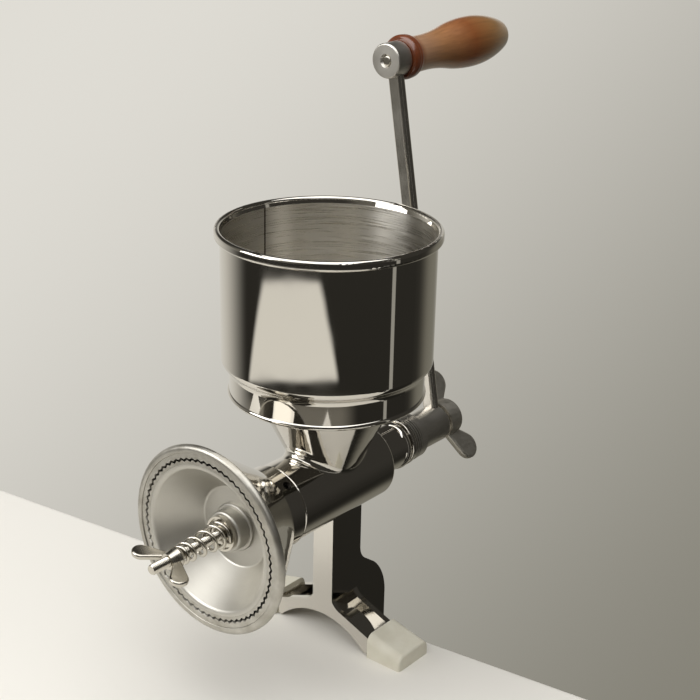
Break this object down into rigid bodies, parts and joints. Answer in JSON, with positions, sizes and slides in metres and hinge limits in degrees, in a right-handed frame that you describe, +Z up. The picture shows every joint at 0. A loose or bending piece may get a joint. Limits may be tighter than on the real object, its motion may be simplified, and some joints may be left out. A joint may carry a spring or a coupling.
{
  "type": "hand grain mill",
  "caption": "Polished steel hand mill with a round hopper, conical burrs behind a spring-loaded dish, a long crank with a wooden grip and a table clamp under splayed legs.",
  "frame": {"origin": "on the table top under the hopper's axis, where the stand meets the table", "axes": "+Z up along the hopper's axis, -Y out of the grinding dish, +Y towards the crank behind the table's edge, +X to the side of the right foot"},
  "size_m": [0.1276, 0.3637, 0.4778],
  "materials": {
    "polished_steel": "mirror-polished stainless steel",
    "satin_steel": "satin blasted stainless steel",
    "plated_steel": "bright plated steel",
    "dark_steel": "dark oiled steel",
    "bearing_bronze": "plain bronze",
    "foot_rubber": "off-white moulded rubber",
    "varnished_wood": "reddish-brown varnish"
  },
  "bodies": {
    "frame": {"barrel_housing": "polished_steel", "clamp_stand": "polished_steel", "right_foot_cap": "foot_rubber", "left_foot_cap": "foot_rubber", "rear_bush": "bearing_bronze", "fixed_burr_housing": "polished_steel", "fixed_burr": "satin_steel", "collar_set_screws": "dark_steel"},
    "hopper": {"hopper": "polished_steel"},
    "drive": {"drive_shaft": "plated_steel", "feed_auger": "satin_steel", "drive_pin": "dark_steel", "thrust_washers": "plated_steel", "crank_hub": "polished_steel", "crank_arm": "polished_steel", "crank_boss": "polished_steel", "grip_spindle": "plated_steel", "grip_screw": "plated_steel"},
    "grip": {"wooden_grip": "varnished_wood"},
    "burr": {"rotating_dish": "satin_steel", "rotating_burr": "satin_steel", "burr_hub": "satin_steel", "spring_cup": "plated_steel", "pressure_spring": "plated_steel"},
    "nut_seat": {"nut_washer": "plated_steel"},
    "adjusting_nut": {"adjusting_nut": "plated_steel"},
    "crank_washer": {"crank_washer": "plated_steel"},
    "rear_nut": {"rear_wing_nut": "plated_steel"},
    "clamp_pad": {"clamp_pad": "plated_steel"},
    "clamp_screw": {"clamp_screw": "plated_steel"},
    "clamp_bar": {"clamp_handle": "plated_steel", "handle_knobs": "plated_steel"}
  },
  "joints": [
    {"name": "hopper_lift", "type": "slide", "parent": "frame", "child": "hopper", "axis": [0, 0, 1], "range_m": [0, 0.1]},
    {"name": "crank_turn", "type": "hinge", "parent": "frame", "child": "drive", "pos_m": [0, 0, 0.106], "axis": [0, 1, 0], "continuous": true},
    {"name": "grip_spin", "type": "hinge", "parent": "drive", "child": "grip", "pos_m": [-0.04029, 0.107, 0.33448], "axis": [-0.003, 0.9998, 0.0172], "continuous": true},
    {"name": "burr_float", "type": "slide", "parent": "drive", "child": "burr", "axis": [0, -1, 0], "range_m": [0, 0.002], "stiffness_N_per_m": 4000, "springref_m": -0.008, "deforming": ["pressure_spring"]},
    {"name": "nut_travel", "type": "slide", "parent": "drive", "child": "nut_seat", "axis": [0, 1, 0], "range_m": [-0.0025, 0.0075], "deforming": ["pressure_spring"]},
    {"name": "adjust_turn", "type": "hinge", "parent": "nut_seat", "child": "adjusting_nut", "pos_m": [0, 0, 0.106], "axis": [0, 1, 0], "range_deg": [-900, 2700]},
    {"name": "washer_travel", "type": "slide", "parent": "drive", "child": "crank_washer", "axis": [0, 1, 0], "range_m": [0, 0.007]},
    {"name": "rear_nut_turn", "type": "hinge", "parent": "crank_washer", "child": "rear_nut", "pos_m": [0, 0, 0.106], "axis": [0, 1, 0], "range_deg": [0, 2520]},
    {"name": "pad_travel", "type": "slide", "parent": "frame", "child": "clamp_pad", "axis": [0, 0, 1], "range_m": [-0.018, 0.024]},
    {"name": "clamp_turn", "type": "hinge", "parent": "clamp_pad", "child": "clamp_screw", "pos_m": [0, 0.01, 0], "axis": [0, 0, 1], "range_deg": [-2160, 2880]},
    {"name": "bar_slide", "type": "slide", "parent": "clamp_screw", "child": "clamp_bar", "axis": [1, 0, 0], "range_m": [-0.022, 0.022]}
  ],
  "couplings": [
    {"joint": "nut_travel", "follows": "adjust_turn", "m_per_rad": 0.00015915},
    {"joint": "washer_travel", "follows": "rear_nut_turn", "m_per_rad": 0.00015915},
    {"joint": "pad_travel", "follows": "clamp_turn", "m_per_rad": 0.00047746}
  ]
}
